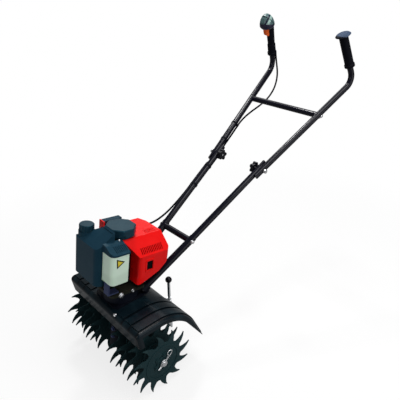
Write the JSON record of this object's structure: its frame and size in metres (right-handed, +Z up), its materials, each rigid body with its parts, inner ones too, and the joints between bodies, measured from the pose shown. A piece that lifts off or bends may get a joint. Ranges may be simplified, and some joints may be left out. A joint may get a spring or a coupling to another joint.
{
  "type": "mini tiller",
  "caption": "Walk-behind mini tiller: small engine over a worm gearbox, star tine rotor under a ribbed fender, folding two-tube handlebar and a rear depth stake.",
  "frame": {"origin": "centre of the footprint on the floor", "axes": "+Z up, the machine drives toward -Y, its left side is +X"},
  "size_m": [0.422, 1.0664, 1.0512],
  "materials": {
    "cast_grey": "painted satin",
    "black_plastic": "satin",
    "steel_plate": "satin",
    "engine_metal": "cast",
    "red_plastic": "gloss",
    "tank_plastic": "satin",
    "steel_grey": "satin",
    "tube_black": "gloss",
    "zinc": "satin",
    "rubber_black": "matte",
    "tine_steel": "satin",
    "orange_plastic": "gloss"
  },
  "bodies": {
    "main_frame": {"gearbox_housing": "cast_grey", "clutch_housing": "cast_grey", "fender": "black_plastic", "handle_mount": "steel_plate", "engine_base": "engine_metal", "engine_block": "engine_metal", "fan_shroud": "red_plastic", "starter_housing": "black_plastic", "front_cover": "black_plastic", "fuel_tank": "tank_plastic", "fuel_cap": "black_plastic", "tank_shoulder": "black_plastic", "tank_rest": "steel_grey", "air_cleaner": "black_plastic", "carburettor": "engine_metal", "base_tube_left": "tube_black", "base_tube_right": "tube_black", "lower_crossbar": "tube_black", "lower_tube_left": "tube_black", "lower_tube_right": "tube_black", "pivot_bolt_left": "zinc", "pivot_bolt_right": "zinc", "star_knob_left": "black_plastic", "star_knob_right": "black_plastic", "stake_sleeve": "steel_plate", "throttle_cable_lower": "rubber_black", "cable_ties_lower": "rubber_black"},
    "rotor": {"output_shaft": "zinc", "tine_set_left": "tine_steel", "tine_set_right": "tine_steel", "hitch_pins": "zinc"},
    "upper_handle": {"upper_tube_left": "tube_black", "upper_tube_right": "tube_black", "upper_crossbar": "tube_black", "grip_left": "rubber_black", "grip_right": "rubber_black", "throttle_head": "black_plastic", "throttle_trigger": "orange_plastic", "throttle_cable_upper": "rubber_black", "cable_ties_upper": "rubber_black"},
    "stake": {"depth_stake": "zinc", "stake_knob": "black_plastic"}
  },
  "joints": [
    {"name": "rotor_spin", "type": "hinge", "parent": "main_frame", "child": "rotor", "pos_m": [0, -0.417, 0.11203], "axis": [1, 0, 0], "continuous": true},
    {"name": "handle_fold", "type": "hinge", "parent": "main_frame", "child": "upper_handle", "pos_m": [0, 0.118, 0.581], "axis": [1, 0, 0], "range_deg": [0, 130]},
    {"name": "stake_slide", "type": "slide", "parent": "main_frame", "child": "stake", "axis": [0, 0, 1], "range_m": [0, 0.04]}
  ]
}
